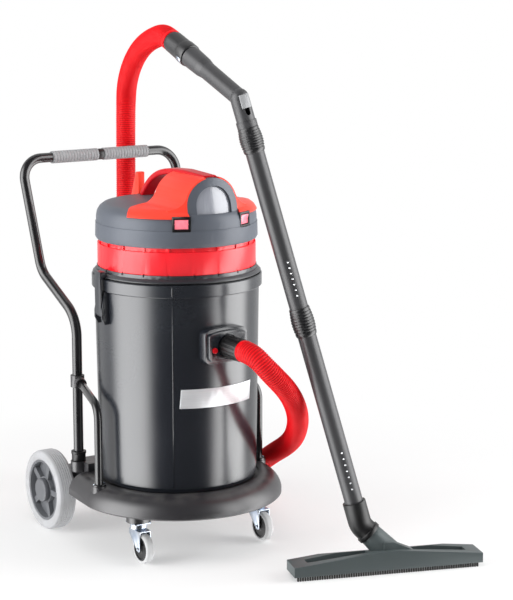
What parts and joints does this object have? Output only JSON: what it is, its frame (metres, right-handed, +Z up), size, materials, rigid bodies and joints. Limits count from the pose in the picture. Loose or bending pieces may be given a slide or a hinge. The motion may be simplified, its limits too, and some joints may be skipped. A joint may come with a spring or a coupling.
{
  "type": "wet and dry tank vacuum cleaner",
  "caption": "Upright drum-shaped wet and dry vacuum cleaner on a wheeled trolley with push handle, corrugated suction hose, straight wand and wide floor nozzle.",
  "frame": {"origin": "on the floor under the axis of the tank", "axes": "+Z up along the tank's axis, -Y towards the hose inlet at the front, +X to the side where the hose runs"},
  "size_m": [0.7874, 1.1067, 1.2918],
  "materials": {
    "base_plastic": "satin",
    "zinc_steel": "zinc plated",
    "hub_grey": "satin",
    "pale_tyre": "matte",
    "black_plastic": "satin",
    "frame_paint": "gloss",
    "grip_grey": "matte",
    "tank_plastic": "satin",
    "label_face": "satin",
    "seal_rubber": "matte",
    "ring_plastic": "satin",
    "band_red": "gloss",
    "dome_grey": "satin",
    "cover_coral": "satin",
    "handle_red": "satin",
    "switch_pink": "lit, translucent",
    "inner_plastic": "matte",
    "blower_steel": "pressed",
    "hose_red": "satin",
    "slider_grey": "matte",
    "wand_plastic": "satin",
    "nozzle_grey": "satin"
  },
  "bodies": {
    "machine": {"base_moulding": "base_plastic", "rear_axle": "zinc_steel", "axle_caps": "hub_grey", "caster_plates": "zinc_steel", "push_handle_tube": "frame_paint", "handle_grips": "grip_grey", "grip_spacer": "black_plastic", "handle_sockets": "base_plastic", "side_stays": "frame_paint", "stay_screws": "zinc_steel", "stay_clamps": "base_plastic", "tank": "tank_plastic", "clasp_brackets": "tank_plastic", "inlet_bezel": "tank_plastic", "inlet_spigot": "tank_plastic", "inlet_deflector": "tank_plastic", "label_plate": "label_face", "hose": "hose_red", "handle_tube": "wand_plastic", "wand_upper_tube": "wand_plastic", "wand_lower_tube": "wand_plastic", "wand_sleeves": "wand_plastic", "nozzle_elbow": "wand_plastic"},
    "rear_wheel_left": {"rear_wheel_hub_left": "hub_grey", "rear_wheel_tyre_left": "pale_tyre"},
    "rear_wheel_right": {"rear_wheel_hub_right": "hub_grey", "rear_wheel_tyre_right": "pale_tyre"},
    "caster_swivel_left": {"caster_fork_left": "zinc_steel"},
    "caster_swivel_right": {"caster_fork_right": "zinc_steel"},
    "caster_wheel_left": {"caster_hub_left": "black_plastic", "caster_tyre_left": "pale_tyre"},
    "caster_wheel_right": {"caster_hub_right": "black_plastic", "caster_tyre_right": "pale_tyre"},
    "clasp_left": {"clasp_left": "tank_plastic"},
    "clasp_right": {"clasp_right": "tank_plastic"},
    "head": {"head_gasket": "seal_rubber", "head_ring": "ring_plastic", "head_band": "band_red", "head_dome": "dome_grey", "hood_panel": "dome_grey", "cover_left": "cover_coral", "cover_right": "cover_coral", "head_screws": "zinc_steel", "carrying_handle": "handle_red", "cable_hook": "cover_coral", "cable_gland": "black_plastic", "switch_frames": "black_plastic", "motor_plate": "inner_plastic", "blower_left": "blower_steel", "blower_right": "blower_steel", "float_cage": "inner_plastic"},
    "rocker_left": {"rocker_left": "switch_pink"},
    "rocker_right": {"rocker_right": "switch_pink"},
    "float_ball": {"float_ball": "inner_plastic"},
    "release_button": {"inlet_release_button": "handle_red"},
    "inlet_cuff": {"inlet_cuff": "black_plastic"},
    "handle_cuff": {"handle_cuff": "black_plastic"},
    "air_slider": {"air_slider": "slider_grey"},
    "nozzle": {"nozzle_body": "nozzle_grey", "nozzle_strips": "seal_rubber"}
  },
  "joints": [
    {"name": "rear_wheel_left_spin", "type": "hinge", "parent": "machine", "child": "rear_wheel_left", "pos_m": [-0.227, 0.264, 0.102], "axis": [1, 0, 0], "continuous": true},
    {"name": "rear_wheel_right_spin", "type": "hinge", "parent": "machine", "child": "rear_wheel_right", "pos_m": [0.227, 0.264, 0.102], "axis": [1, 0, 0], "continuous": true},
    {"name": "caster_left_swivel", "type": "hinge", "parent": "machine", "child": "caster_swivel_left", "pos_m": [-0.172, -0.1, 0.0995], "axis": [0, 0, 1], "continuous": true},
    {"name": "caster_left_spin", "type": "hinge", "parent": "caster_swivel_left", "child": "caster_wheel_left", "pos_m": [-0.172, -0.125, 0.0375], "axis": [1, 0, 0], "continuous": true},
    {"name": "caster_right_swivel", "type": "hinge", "parent": "machine", "child": "caster_swivel_right", "pos_m": [0.172, -0.1, 0.0995], "axis": [0, 0, 1], "continuous": true},
    {"name": "caster_right_spin", "type": "hinge", "parent": "caster_swivel_right", "child": "caster_wheel_right", "pos_m": [0.172, -0.125, 0.0375], "axis": [1, 0, 0], "continuous": true},
    {"name": "head_lift", "type": "slide", "parent": "machine", "child": "head", "axis": [0, 0, 1], "range_m": [0, 0.2]},
    {"name": "clasp_left_turn", "type": "hinge", "parent": "machine", "child": "clasp_left", "pos_m": [-0.2135, 0, 0.602], "axis": [0, -1, 0], "range_deg": [0, 120]},
    {"name": "clasp_right_turn", "type": "hinge", "parent": "machine", "child": "clasp_right", "pos_m": [0.2135, 0, 0.602], "axis": [0, 1, 0], "range_deg": [0, 120]},
    {"name": "rocker_left_tilt", "type": "hinge", "parent": "head", "child": "rocker_left", "pos_m": [-0.08657, -0.17138, 0.8325], "axis": [-0.8926, 0.4509, 0], "range_deg": [0, 12]},
    {"name": "rocker_right_tilt", "type": "hinge", "parent": "head", "child": "rocker_right", "pos_m": [0.08657, -0.17138, 0.8325], "axis": [-0.8926, -0.4509, 0], "range_deg": [0, 12]},
    {"name": "float_rise", "type": "slide", "parent": "head", "child": "float_ball", "axis": [0, 0, 1], "range_m": [0, 0.118]},
    {"name": "release_button_press", "type": "slide", "parent": "machine", "child": "release_button", "axis": [-0.0349, 0.9994, 0], "range_m": [0, 0.003], "stiffness_N_per_m": 400, "springref_m": -0.002},
    {"name": "inlet_cuff_turn", "type": "hinge", "parent": "machine", "child": "inlet_cuff", "pos_m": [0.00907, -0.25984, 0.537], "axis": [0.0349, -0.9994, 0], "continuous": true},
    {"name": "handle_cuff_turn", "type": "hinge", "parent": "machine", "child": "handle_cuff", "pos_m": [-0.01702, -0.06725, 1.23453], "axis": [-0.0895, 0.907, 0.4115], "continuous": true},
    {"name": "air_slider_slide", "type": "slide", "parent": "machine", "child": "air_slider", "axis": [0.2288, -0.1464, -0.9624], "range_m": [0, 0.012]},
    {"name": "nozzle_swivel", "type": "hinge", "parent": "machine", "child": "nozzle", "pos_m": [0.26708, -0.45488, 0.08668], "axis": [-0.5792, 0.4194, 0.699], "range_deg": [-15, 15]}
  ],
  "couplings": [
    {"joint": "clasp_left_turn", "follows": "head_lift", "rad_per_m": 10.47},
    {"joint": "clasp_right_turn", "follows": "head_lift", "rad_per_m": 10.47}
  ]
}
